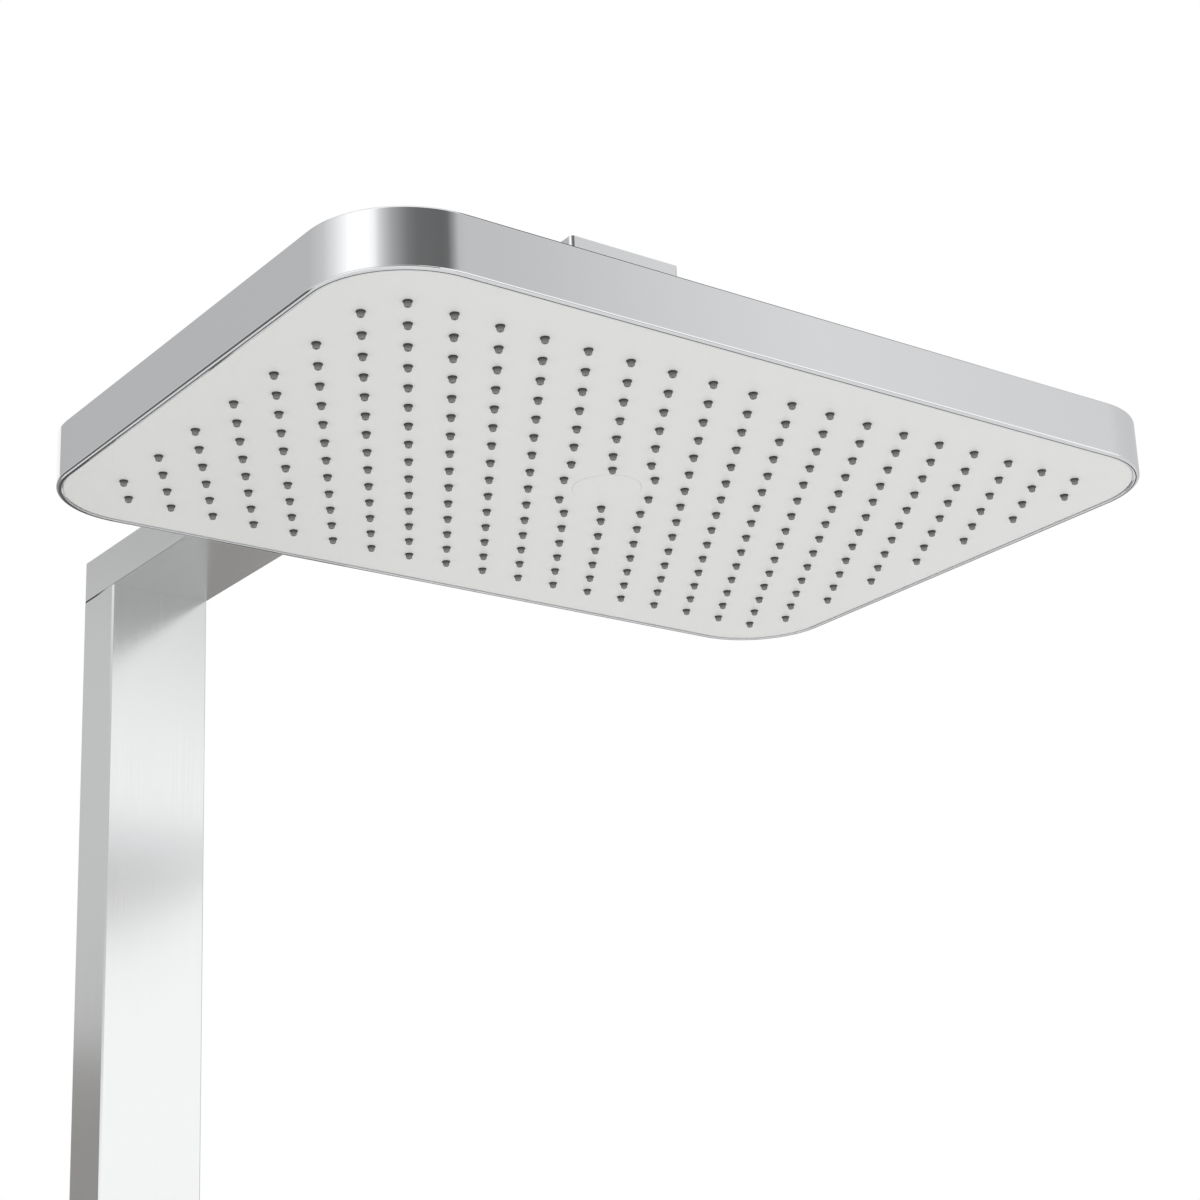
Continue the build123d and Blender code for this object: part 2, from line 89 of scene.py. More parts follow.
def add_node(tree, kind, inputs=None, **settings):
    """Adds a node. Inputs are given by socket name as values, or as other nodes' outputs to link."""
    node = tree.nodes.new(kind)
    for name, value in settings.items():
        setattr(node, name, value)
    for name, value in (inputs or {}).items():
        if isinstance(value, bpy.types.NodeSocket):
            tree.links.new(value, node.inputs[name])
        else:
            node.inputs[name].default_value = value
    return node


def new_material(name):
    """A material with nothing but its Principled shader and output."""
    material = bpy.data.materials.new(name)
    material.use_nodes = True
    return material, material.node_tree, material.node_tree.nodes["Principled BSDF"]


print("linear mid grey:", [round(c, 3) for c in linear("#808080")])

# %% [markdown]
# ## Chrome plate
#
# The tray of the head is bright chrome on plastic. Chrome has hardly a colour of its own: nearly
# all that the eye sees is the room in it. A mirror without any flaw looks computed, so a slow wave of
# a few hundredths of a millimetre, as moulded and plated parts have, bends the reflections very slightly.


# %% Chrome plate on a moulded part
chrome, tree, shader = new_material("chrome_plate_on_moulded_abs")
shader.inputs["Base Color"].default_value = linear("#eeeff1")
shader.inputs["Metallic"].default_value = 1.0
place = add_node(tree, "ShaderNodeTexCoord")
wave_length = 90 * mm
wave = add_node(tree, "ShaderNodeTexNoise", {
    "Vector": place.outputs["Object"], "Scale": 1 / wave_length, "Detail": 1.0})
gloss = add_node(tree, "ShaderNodeMapRange", {
    "Value": wave.outputs["Fac"], "To Min": 0.03, "To Max": 0.06})
bend = add_node(tree, "ShaderNodeBump", {
    "Height": wave.outputs["Fac"], "Strength": 0.05, "Distance": 1.0 * mm})
tree.links.new(gloss.outputs["Result"], shader.inputs["Roughness"])
tree.links.new(bend.outputs["Normal"], shader.inputs["Normal"])
print("material:", chrome.name)

# %% [markdown]
# ## Polished profile
#
# The column and the arm are extruded profiles, polished and clear. Under the polish a trace of the drawing
# lines stays, along the length of the profile. They are drawn as noise that is stretched a hundred times
# along one axis. Real lines are some hundredths of a millimetre wide; here they are 0.6 mm, so that
# they just show.


# %% Polished extruded aluminium, for upright and for level profiles
line_width = 0.6 * mm
line_stretch = 100


def polished_profile(name, along):
    """Bright aluminium with fine lines along one axis: 1 for Y, 2 for Z."""
    material, tree, shader = new_material(name)
    shader.inputs["Base Color"].default_value = linear("#e9eaea")
    shader.inputs["Metallic"].default_value = 1.0
    place = add_node(tree, "ShaderNodeTexCoord")
    stretch = [1.0, 1.0, 1.0]
    stretch[along] = 1 / line_stretch
    squeezed = add_node(tree, "ShaderNodeMapping", {
        "Vector": place.outputs["Object"], "Scale": stretch})
    lines = add_node(tree, "ShaderNodeTexNoise", {
        "Vector": squeezed.outputs["Vector"], "Scale": 1 / line_width, "Detail": 2.0})
    gloss = add_node(tree, "ShaderNodeMapRange", {
        "Value": lines.outputs["Fac"], "To Min": 0.14, "To Max": 0.24})
    ridges = add_node(tree, "ShaderNodeBump", {
        "Height": lines.outputs["Fac"], "Strength": 0.03, "Distance": 0.4 * mm})
    tree.links.new(gloss.outputs["Result"], shader.inputs["Roughness"])
    tree.links.new(ridges.outputs["Normal"], shader.inputs["Normal"])
    return material


upright_aluminium = polished_profile("polished_extruded_aluminium_upright", 2)
level_aluminium = polished_profile("polished_extruded_aluminium_level", 1)
print("materials:", upright_aluminium.name, level_aluminium.name)

# %% [markdown]
# ## White ABS
#
# The spray face is moulded white ABS with a satin skin: a broad soft sheen at flat angles, no hard mirror
# image. Spark-eroded moulds leave a grain of about a quarter of a millimetre. It is drawn twice as coarse,
# so that it shows, as noise in the gloss and as a very low bump.

# %% White moulded ABS with a satin grain
white_abs, tree, shader = new_material("white_moulded_abs_satin")
shader.inputs["Base Color"].default_value = linear("#ebebea")
shader.inputs["IOR"].default_value = 1.53
place = add_node(tree, "ShaderNodeTexCoord")
grain_size = 0.5 * mm
grain = add_node(tree, "ShaderNodeTexNoise", {
    "Vector": place.outputs["Object"], "Scale": 1 / grain_size, "Detail": 2.0})
gloss = add_node(tree, "ShaderNodeMapRange", {
    "Value": grain.outputs["Fac"], "To Min": 0.30, "To Max": 0.42})
skin = add_node(tree, "ShaderNodeBump", {
    "Height": grain.outputs["Fac"], "Strength": 0.04, "Distance": 0.2 * mm})
tree.links.new(gloss.outputs["Result"], shader.inputs["Roughness"])
tree.links.new(skin.outputs["Normal"], shader.inputs["Normal"])
print("material:", white_abs.name)

# %% [markdown]
# ## Grey silicone
#
# The nozzles are soft silicone, so that a thumb can rub lime off them. Fresh silicone is matt. Its tone
# is painted shade: dark at the foot, where shade falls round the brim and the hole it sits in, and paler
# towards the tip. It follows the height, read from Object coordinates, which works because every finished
# piece keeps its place in its mesh. The brim at the foot is nearly even in dark tone, and the paleness sets
# in above it.

# %% Grey silicone with painted shade: darker at the foot and paler at the tip
silicone, tree, shader = new_material("grey_silicone_painted_foot_shade")
shader.inputs["IOR"].default_value = 1.41
shader.inputs["Roughness"].default_value = 0.55
foot_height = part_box("centre_cap")[0].z
tip_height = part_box("spray_face")[0].z
brim_share = 0.22
side_share = 0.40
place = add_node(tree, "ShaderNodeTexCoord")
axes = add_node(tree, "ShaderNodeSeparateXYZ", {"Vector": place.outputs["Object"]})
painted_shade_by_height = add_node(tree, "ShaderNodeMapRange", {
    "Value": axes.outputs["Z"], "From Min": foot_height, "From Max": tip_height})
shade = add_node(tree, "ShaderNodeValToRGB", {"Fac": painted_shade_by_height.outputs["Result"]})
# Painted shade: the dark stops at the foot stand for the shade round the brim, and the stops grow paler
# towards the tip
stops = shade.color_ramp.elements
stops[0].color = linear("#363737")
stops[1].color = linear("#8f908f")
stops.new(brim_share).color = linear("#424343")
stops.new(side_share).color = linear("#6a6b6b")
tree.links.new(shade.outputs["Color"], shader.inputs["Base Color"])
print("nozzle foot and tip heights:", round(foot_height, 4), round(tip_height, 4))

# %% [markdown]
# ## Finishes of the inner pieces
#
# Inside the profiles are turned brass, stainless steel, grey plastic and black rubber. They show only at
# the back and at the foot, but each still has the mark of how it was made: fine turning rings or
# a rolled grain on metal, a moulded grain on plastic and a matt bloom on rubber. A fifth finish is a flat
# grey that is painted shade: it fills one groove of the head's chrome, where shade falls. One function makes
# all five from a colour, a roughness range and the size of the mark. The marks are drawn several times as
# coarse as real ones, because finer ones wouldn't show.


# %% Brass, stainless steel, plastics and rubber
def marked_finish(name, hex_code, metallic, roughness, mark_size, depth, stretch=(1.0, 1.0, 1.0)):
    """A finish whose gloss and height vary with a mark of a given size, stretched along the axes."""
    material, tree, shader = new_material(name)
    shader.inputs["Base Color"].default_value = linear(hex_code)
    shader.inputs["Metallic"].default_value = metallic
    place = add_node(tree, "ShaderNodeTexCoord")
    squeezed = add_node(tree, "ShaderNodeMapping", {
        "Vector": place.outputs["Object"], "Scale": stretch})
    mark = add_node(tree, "ShaderNodeTexNoise", {
        "Vector": squeezed.outputs["Vector"], "Scale": 1 / mark_size, "Detail": 3.0})
    gloss = add_node(tree, "ShaderNodeMapRange", {
        "Value": mark.outputs["Fac"], "To Min": roughness[0], "To Max": roughness[1]})
    relief = add_node(tree, "ShaderNodeBump", {
        "Height": mark.outputs["Fac"], "Strength": depth, "Distance": 0.4 * mm})
    tree.links.new(gloss.outputs["Result"], shader.inputs["Roughness"])
    tree.links.new(relief.outputs["Normal"], shader.inputs["Normal"])
    return material


turned_brass = marked_finish(
    "turned_brass", "#d8c08c", metallic=1.0, roughness=(0.22, 0.38), mark_size=0.6 * mm,
    depth=0.10, stretch=(0.02, 0.02, 1.0))
rolled_steel = marked_finish(
    "rolled_stainless_steel", "#c4c5c6", metallic=1.0, roughness=(0.28, 0.45), mark_size=0.7 * mm,
    depth=0.10, stretch=(1.0, 1.0, 0.02))
grey_plastic = marked_finish(
    "grey_moulded_plastic", "#9b9da0", metallic=0.0, roughness=(0.45, 0.60), mark_size=1.0 * mm, depth=0.08)
black_rubber = marked_finish(
    "black_moulded_rubber", "#1c1c1d", metallic=0.0, roughness=(0.65, 0.85), mark_size=1.2 * mm, depth=0.15)
# Painted shade: this flat grey goes into the tray's groove in place of chrome, for the shade that falls
# there
groove_shade_grey = marked_finish(
    "grey_painted_groove_shade", "#7a7b7d", metallic=0.0, roughness=(0.50, 0.65), mark_size=1.0 * mm, depth=0.05)
for finish in (turned_brass, rolled_steel, grey_plastic, black_rubber, groove_shade_grey):
    print("material:", finish.name)

# %% [markdown]
# ## Dressing the solids
#
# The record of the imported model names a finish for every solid, so a table leads from that name to one of
# the materials above. The arm lies level, so its solids get the profile whose lines run that way.

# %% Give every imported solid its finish
finish_of = {
    "polished_profile": upright_aluminium,
    "chrome_head": chrome,
    "white_face": white_abs,
    "chamber_plastic": grey_plastic,
    "brass_fitting": turned_brass,
    "black_rubber": black_rubber,
    "screw_steel": rolled_steel,
    "bracket_steel": rolled_steel,
}
for subpart in frame["record"]["subparts"]:
    solids[subpart["node"]].data.materials.clear()
    solids[subpart["node"]].data.materials.append(finish_of[subpart["material_slot"]])
for name in ("arm_profile", "arm_front_cap", "arm_rear_cap"):
    solids[name].data.materials[0] = level_aluminium

# %% [markdown]
# ## Making pieces
#
# A few helpers model every piece of this lesson. A box is a cube that is moved and scaled, and a bevel
# rounds its edges. A flat face with a round hole is a fill between an outline and a circle. A turned piece
# is a profile that is spun once round, and a piece that repeats is made once and copied to its places. The
# last helper turns a bmesh into an object that sits at the origin, rides on a body and stands for a packed
# solid. Weighted normals keep flats flat beside small round edges, which matters most on a mirror.

# %% Helpers that pick out parts of a mesh
height_slack = 0.1 * mm
shortest_post = 0.5 * mm


def only(kind, results):
    """What is of one kind among an operator's results: vertices, edges or faces."""
    return [part for part in results if isinstance(part, kind)]


def open_edges(bm, height):
    """The edges at a height that have a face on one side only."""
    return [e for e in bm.edges if e.is_boundary and abs(e.verts[0].co.z - height) < height_slack]


def front_posts(bm, limit):
    """The upright edges in front of a place along Y."""
    upright = [e for e in bm.edges if abs(e.verts[0].co.z - e.verts[1].co.z) > shortest_post]
    return [e for e in upright if e.verts[0].co.y < limit]


def level_face(bm, pick):
    """The lowest or the highest face: pick is min or max."""
    return pick(bm.faces, key=lambda face: face.calc_center_median().z)


# %% Helpers that shape a mesh
def round_off(bm, edges, radius, segments):
    """Rounds edges with a bevel."""
    bmesh.ops.bevel(bm, geom=edges, offset=radius, offset_type="OFFSET", segments=segments, profile=0.5,
                    affect="EDGES", material=-1, clamp_overlap=True)


def block(bm, low, high):
    """A box between two corners, as its new faces."""
    low, high = Vector(low), Vector(high)
    place = Matrix.Translation((low + high) / 2) @ Matrix.Diagonal((*(high - low), 1))
    verts = bmesh.ops.create_cube(bm, size=1.0, matrix=place)["verts"]
    return list({face for vert in verts for face in vert.link_faces})


def fill_round_hole(bm, outline, centre, radius, segments):
    """Fills a level outline but for a round hole, and returns the hole's edges."""
    spot = Matrix.Translation((centre.x, centre.y, outline[0].verts[0].co.z))
    circle = bmesh.ops.create_circle(bm, radius=radius, segments=segments, matrix=spot)["verts"]
    hole = list({edge for vert in circle for edge in vert.link_edges})
    bmesh.ops.triangle_fill(bm, use_beauty=True, edges=outline + hole, normal=(0, 0, 1))
    return hole


def sink_hole(bm, face, centre, radius, segments, depth):
    """Sinks a round hole with a flat floor into a level face. A positive depth goes up."""
    outline = list(face.edges)
    bmesh.ops.delete(bm, geom=[face], context="FACES_ONLY")
    hole = fill_round_hole(bm, outline, centre, radius, segments)
    wall = bmesh.ops.extrude_edge_only(bm, edges=hole)["geom"]
    floor_verts = only(bmesh.types.BMVert, wall)
    bmesh.ops.translate(bm, verts=floor_verts, vec=(0, 0, depth))
    bmesh.ops.contextual_create(bm, geom=floor_verts)


def turn_profile(bm, profile, centre, base, steps, closed=True):
    """Spins a profile of radius and height round an upright axis. A closed one joins its two ends."""
    points = [bm.verts.new((centre.x + r, centre.y, base + z)) for r, z in profile]
    ends = points[1:] + points[:1] if closed else points[1:]
    edges = [bm.edges.new(pair) for pair in zip(points, ends)]
    bmesh.ops.spin(bm, geom=points + edges, axis=(0, 0, 1), cent=(centre.x, centre.y, 0), angle=2 * math.pi,
                   steps=steps, use_merge=True)


def copies(bm, spots):
    """Copies of a bmesh at places that are given as matrices, in a new bmesh."""
    mesh = bpy.data.meshes.new("one_copy")
    bm.to_mesh(mesh)
    bm.free()
    many = bmesh.new()
    for spot in spots:
        first = len(many.verts)
        many.from_mesh(mesh)
        many.verts.ensure_lookup_table()
        bmesh.ops.transform(many, matrix=spot, verts=many.verts[first:])
    bpy.data.meshes.remove(mesh)
    return many


# %% Helper that finishes a piece
sharp_angle = math.radians(40)
weld_distance = 1e-6


def finish_piece(bm, name, finishes, body, replaced):
    """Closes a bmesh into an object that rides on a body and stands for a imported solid."""
    bmesh.ops.remove_doubles(bm, verts=bm.verts, dist=weld_distance)
    bmesh.ops.recalc_face_normals(bm, faces=bm.faces)
    mesh = bpy.data.meshes.new(name)
    bm.to_mesh(mesh)
    bm.free()
    mesh.shade_smooth()
    mesh.set_sharp_from_angle(angle=sharp_angle)
    piece = bpy.data.objects.new(name, mesh)
    bpy.context.scene.collection.objects.link(piece)
    for finish in finishes:
        mesh.materials.append(finish)
    flats = piece.modifiers.new("flats", "WEIGHTED_NORMAL")
    flats.keep_sharp = True
    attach(piece, body)
    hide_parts(replaced)
    print(name, "faces:", len(mesh.polygons))


# %% [markdown]
# ## The chrome tray
#
# The tray is the rim and the top of the head in one moulding. Its edge is drawn as a profile, as a die
# maker would cut it, and led round a rectangle with rounded corners: spun at each corner and extruded along
# each side. The lowest edge is a round lip. A hairline groove parts it from a narrow flat ring. The groove's
# faces get a flat grey in place of chrome, as painted shade in the groove, and the lip and the ring read as
# two bright lines beside it. The top and the ceiling are then filled, with a hole for the joint.

# %% Profiles of the tray, in from the outer wall and up from the lowest edge
tray_low, tray_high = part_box("head_shell")
head_middle = (tray_low + tray_high) / 2
tray_corner = 35 * mm
tray_wall = 2.4 * mm
tray_height = tray_high.z - tray_low.z
lip_round = 1.0 * mm
lip_width = 1.15 * mm
groove_width = 0.45 * mm
groove_depth = 0.4 * mm
ring_width = 0.55 * mm
ring_bevel = 0.1 * mm
channel_depth = 1.0 * mm
top_round = 0.9 * mm
quarter_steps = 5
round_steps = [math.pi / 2 * step / quarter_steps for step in range(quarter_steps + 1)]

ring_outside = lip_width + groove_width
ring_inside = ring_outside + ring_width
inner_wall = [(tray_wall, tray_height - tray_wall), (tray_wall, channel_depth), (ring_inside, channel_depth),
              (ring_inside, ring_bevel), (ring_inside - ring_bevel, 0), (ring_outside, 0)]
groove = [inner_wall[-1], (ring_outside, groove_depth), (lip_width, groove_depth), (lip_width, 0)]
outer_wall = [groove[-1]]
outer_wall += [(lip_round * (1 - math.sin(turn)), lip_round * (1 - math.cos(turn))) for turn in round_steps]
outer_wall += [(top_round * (1 - math.cos(turn)), tray_height - top_round * (1 - math.sin(turn)))
               for turn in round_steps]
outer_wall.append((tray_wall, tray_height))
print("tray profile points:", len(inner_wall + groove + outer_wall))


# %% Chrome tray of the head
def lead_round(bm, profile, low, high, corner, steps, finish=0):
    """Leads a profile round a rectangle with rounded corners, and gives its faces a finish."""
    known = set(bm.faces)
    right, left = high.x - corner, low.x + corner
    back, front = high.y - corner, low.y + corner
    posts = [bm.verts.new((right, low.y + inward, low.z + up)) for inward, up in profile]
    strip = posts + [bm.edges.new(pair) for pair in zip(posts, posts[1:])]
    runs = [((right, front), (0, back - front)), ((right, back), (left - right, 0)),
            ((left, back), (0, front - back)), ((left, front), (right - left, 0))]
    for centre, run in runs:
        strip = bmesh.ops.spin(bm, geom=strip, axis=(0, 0, 1), cent=(*centre, 0), angle=math.pi / 2,
                               steps=steps)["geom_last"]
        side = bmesh.ops.extrude_edge_only(bm, edges=only(bmesh.types.BMEdge, strip))["geom"]
        strip = only((bmesh.types.BMVert, bmesh.types.BMEdge), side)
        bmesh.ops.translate(bm, verts=only(bmesh.types.BMVert, side), vec=(*run, 0))
    for face in set(bm.faces) - known:
        face.material_index = finish


corner_steps = 28
hole_steps = 64
joint_hole = 15.3 * mm
# The groove's faces take the second finish, a flat grey that is painted shade
bright = 0
painted_groove_shade = 1
tray = bmesh.new()
for profile, finish in ((inner_wall, bright), (groove, painted_groove_shade), (outer_wall, bright)):
    lead_round(tray, profile, tray_low, tray_high, tray_corner, corner_steps, finish)
bmesh.ops.remove_doubles(tray, verts=tray.verts, dist=weld_distance)
holes = []
for height in (tray_high.z - tray_wall, tray_high.z):
    holes += fill_round_hole(tray, open_edges(tray, height), head_middle, joint_hole, hole_steps)
bmesh.ops.bridge_loops(tray, edges=holes)
finish_piece(tray, "head_tray", [chrome, groove_shade_grey], "head", "head_shell")

# %% [markdown]
# ## The white face
#
# The face sits in the tray, a little higher than the lip. Its edge is led round as a profile too: a flange
# that nearly touches the tray's wall, a narrow step, and a soft round down to the face. So a shallow channel
# runs all round, which reads as a grey line. In the middle is a shallow round seat for the cap that hides
# the centre screw.

# %% White spray face
face_gap = 0.15 * mm
face_inset = tray_wall + face_gap
face_thickness = 3.0 * mm
face_round = 0.5 * mm
flange_gap = 0.05 * mm
flange_inset = tray_wall + flange_gap
flange_lift = 0.6 * mm
cap_low, cap_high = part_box("centre_cap")
cap_radius = (cap_high.x - cap_low.x) / 2
cap_height = cap_high.z - cap_low.z
seat_gap = 0.06 * mm

plate_low = Vector((tray_low.x, tray_low.y, cap_low.z))
edge_profile = [(flange_inset, face_thickness), (flange_inset, flange_lift), (face_inset, flange_lift)]
edge_profile += [(face_inset + face_round * (1 - math.cos(turn)), face_round * (1 - math.sin(turn)))
                 for turn in round_steps]
plate = bmesh.new()
lead_round(plate, edge_profile, plate_low, tray_high, tray_corner, corner_steps)
bmesh.ops.remove_doubles(plate, verts=plate.verts, dist=weld_distance)
for height in (plate_low.z, plate_low.z + face_thickness):
    bmesh.ops.contextual_create(plate, geom=open_edges(plate, height))
sink_hole(plate, level_face(plate, min), head_middle, cap_radius + seat_gap, hole_steps, cap_height)
finish_piece(plate, "spray_plate", [white_abs], "head", "spray_face")

# %% [markdown]
# ## The centre cap
#
# A small disc closes the middle of the face. It is flush, so only the hairline round it shows. A disc with
# a fine round edge is enough.

# %% Centre cap
cap_edge = 0.12 * mm
cap = bmesh.new()
bmesh.ops.create_cone(cap, cap_ends=True, segments=hole_steps, radius1=cap_radius, radius2=cap_radius,
                      depth=cap_height, matrix=Matrix.Translation((cap_low + cap_high) / 2))
round_off(cap, list(level_face(cap, min).edges), cap_edge, 2)
finish_piece(cap, "screw_cap", [white_abs], "head", "centre_cap")

# %% [markdown]
# ## The nozzles
#
# There are 276 of them, in rows that are shifted by half a pitch in turn, with a ring of six round the cap.
# One nozzle is a profile turned about its axis: a brim, a conical side, a rounded end and a bore. Because it
# is repeated so often it has ten sides and only a few dozen faces. It is made once, and copies of it are
# moved to their places in the same mesh.

# %% Places of the nozzles
pitch = 17.1 * mm
row_spacing = 13.6 * mm
row_count = 15
long_row = 19
ring_radius = 19.2 * mm
ring_count = 6

field_middle = Vector((head_middle.x, head_middle.y, foot_height))
places = []
for row in range(row_count):
    count = long_row - (row + 1) % 2
    y = (row - (row_count - 1) / 2) * row_spacing
    for step in range(count):
        x = (step - (count - 1) / 2) * pitch
        if math.hypot(x, y) > ring_radius:
            places.append(field_middle + Vector((x, y, 0)))
for step in range(ring_count):
    turn = Matrix.Rotation(2 * math.pi * step / ring_count, 4, "Z")
    places.append(field_middle + turn @ Vector((ring_radius, 0, 0)))
print("nozzles:", len(places))

# %% One nozzle, and all its copies
nozzle_sides = 10
brim = [(1.62 * mm, 0), (1.58 * mm, -0.40 * mm)]
cone = [(1.30 * mm, -0.60 * mm), (1.18 * mm, -1.65 * mm)]
tip = [(1.00 * mm, -1.90 * mm), (0.50 * mm, -1.90 * mm)]
bore_end = (0.42 * mm, -1.40 * mm)
nozzle = bmesh.new()
turn_profile(nozzle, [*brim, *cone, *tip, bore_end], Vector((0, 0, 0)), 0, nozzle_sides, closed=False)
bmesh.ops.contextual_create(nozzle, geom=open_edges(nozzle, bore_end[1]))
bmesh.ops.recalc_face_normals(nozzle, faces=nozzle.faces)
field = copies(nozzle, [Matrix.Translation(place) for place in places])
finish_piece(field, "spray_nozzles", [silicone], "head", "spray_face")

# %% [markdown]
# ## The seam under the arm
#
# The arm stands on the column with a thin gasket between them. At the front the two metals meet, and
# towards the wall the seam opens to a dark line. So a thin frame of the column's metal closes the front of
# the seam and slopes away behind it, and the rubber is a wedge that fills the room above the slope.

# %% Sizes of the seam, and helpers for its flat frames
column_low, column_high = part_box("column_profile")
seam_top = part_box("seam_gasket")[1].z
seam_air = 0.02 * mm
edge_flat = 0.8 * mm
frame_wall = 2.2 * mm
seam_closed = 7 * mm
seam_opened = 17 * mm
nearly_level = 0.9
seam_turn = column_low.y + seam_closed
seam_open = column_low.y + seam_opened
seam_room = seam_top - column_high.z - 2 * seam_air


def seam_drop(y):
    """How far the metal lies below the arm: nothing at the front, all of the seam at the back."""
    return seam_room * min(max((y - seam_turn) / (seam_open - seam_turn), 0), 1)


def open_frame(bm, wall):
    """Takes the middle out of a flat slab, and leaves a frame."""
    for level in (-1, 1):
        lids = [f for f in bm.faces if f.normal.z * level > nearly_level]
        bmesh.ops.inset_region(bm, faces=lids, thickness=wall, use_even_offset=True)
        bmesh.ops.delete(bm, geom=[f for f in lids if f.is_valid], context="FACES")
    bmesh.ops.bridge_loops(bm, edges=[e for e in bm.edges if e.is_boundary])


def score(bm, y):
    """Cuts a line across a slab, so that its top can bend there."""
    everything = bm.verts[:] + bm.edges[:] + bm.faces[:]
    bmesh.ops.bisect_plane(bm, geom=everything, plane_co=(0, y, 0), plane_no=(0, 1, 0))


print("room in the seam:", round(seam_room, 5))

# %% Frame of metal
metal_frame = bmesh.new()
block(metal_frame, (column_low.x, column_low.y, column_high.z),
      (column_high.x, column_high.y, seam_top - seam_air))
round_off(metal_frame, front_posts(metal_frame, seam_turn), edge_flat, 1)
score(metal_frame, seam_turn)
score(metal_frame, seam_open)
open_frame(metal_frame, frame_wall)
for vert in metal_frame.verts:
    if vert.co.z > column_high.z + seam_air:
        vert.co.z -= seam_drop(vert.co.y)
finish_piece(metal_frame, "seam_frame", [upright_aluminium], "column", "seam_gasket")

# %% Wedge of rubber
gasket_edge = 0.05 * mm
gasket = bmesh.new()
block(gasket, (column_low.x + gasket_edge, seam_turn, column_high.z + seam_air),
      (column_high.x - gasket_edge, column_high.y - gasket_edge, seam_top - seam_air / 2))
score(gasket, seam_open)
open_frame(gasket, frame_wall)
for vert in gasket.verts:
    if vert.co.z < column_high.z + 2 * seam_air:
        vert.co.z += seam_room - seam_drop(vert.co.y)
finish_piece(gasket, "rubber_gasket", [black_rubber], "column", "seam_gasket")

# %% [markdown]
# ## The end of the arm
#
# The arm is closed by a polished cap. Its two upright edges are rounded, so that they show bright and dark
# stripes as the rim's corner does. Behind the plate a hollow plug holds it in the tube.

# %% Front cap of the arm
end_low, end_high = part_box("arm_front_cap")
end_plate = 2.0 * mm
end_round = 1.8 * mm
plug_step = 2.15 * mm
plug_wall = 1.5 * mm
plug_floor = 1.0 * mm
plug_back = end_low.y + end_plate
plug_depth = end_high.y - plug_back - plug_floor

end_cap = bmesh.new()
block(end_cap, end_low, (end_high.x, plug_back, end_high.z))
round_off(end_cap, front_posts(end_cap, plug_back - end_plate / 2), end_round, 8)
plug = block(end_cap, (end_low.x + plug_step, plug_back, end_low.z + plug_step),
             (end_high.x - plug_step, end_high.y, end_high.z - plug_step))
plug_end = max(plug, key=lambda face: face.calc_center_median().y)
bmesh.ops.inset_region(end_cap, faces=[plug_end], thickness=plug_wall, use_even_offset=True)
bmesh.ops.inset_region(end_cap, faces=[plug_end], thickness=seam_air, depth=-plug_depth)
finish_piece(end_cap, "arm_end_cap", [chrome], "column", "arm_front_cap")

# %% [markdown]
# ## Soft edges
#
# Brackets, foot and nuts come from the solids with knife-sharp edges. Real ones are deburred, and that thin
# round edge is what catches the light. A copy of each mesh is merged, its flat triangles are joined, and
# every long sharp edge gets a small bevel. The solids themselves stay as they are.

# %% Brackets, foot, rear cap and lock nuts with soft edges
flat_angle = math.radians(1)
edge_angle = math.radians(30)
shortest_edge = 3 * mm


def soften(node, name, finish, radius):
    """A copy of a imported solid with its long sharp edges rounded."""
    bm = bmesh.new()
    bm.from_mesh(solids[node].data)
    bmesh.ops.remove_doubles(bm, verts=bm.verts, dist=weld_distance)
    bmesh.ops.dissolve_limit(bm, angle_limit=flat_angle, verts=bm.verts[:], edges=bm.edges[:])
    sharp = [e for e in bm.edges if e.is_manifold and e.calc_length() > shortest_edge
             and e.calc_face_angle() > edge_angle]
    round_off(bm, sharp, radius, 3)
    finish_piece(bm, name, [finish], "column", node)


soften("upper_wall_bracket", "upper_bracket", rolled_steel, 0.6 * mm)
soften("lower_wall_bracket", "lower_bracket", rolled_steel, 0.6 * mm)
soften("foot_cap", "foot_plate", upright_aluminium, 0.3 * mm)
soften("arm_rear_cap", "arm_back_plate", level_aluminium, 0.15 * mm)
soften("lock_nuts", "hexagon_nuts", chrome, 0.7 * mm)

# %% [markdown]
# ## Screws
#
# The small screws have round heads with a hexagon socket. One is modelled along the Z axis: a short
# cylinder with a rounded edge, a six-sided hole sunk into it and a plain shank. Copies are turned to their
# places. The lock screws in the column's sides have no head, so they are only a shank with a socket.

# %% One socket screw
socket_share = 0.6
head_sides = 24
shank_sides = 16
socket_sides = 6


def socket_screw(head_radius, head_height, edge, shank_radius=0, shank_length=0):
    """A screw that hangs down from the origin, with its socket on top."""
    screw = bmesh.new()
    head_place = Matrix.Translation((0, 0, -head_height / 2))
    bmesh.ops.create_cone(screw, cap_ends=True, segments=head_sides, radius1=head_radius,
                          radius2=head_radius, depth=head_height, matrix=head_place)
    round_off(screw, list(level_face(screw, max).edges), edge, 3)
    socket_depth = socket_share * head_height
    head_top = level_face(screw, max)
    sink_hole(screw, head_top, Vector((0, 0, 0)), head_radius / 2, socket_sides, -socket_depth)
    if shank_length:
        shank_place = Matrix.Translation((0, 0, -head_height - shank_length / 2))
        bmesh.ops.create_cone(screw, cap_ends=True, segments=shank_sides, radius1=shank_radius,
                              radius2=shank_radius, depth=shank_length, matrix=shank_place)
    return screw


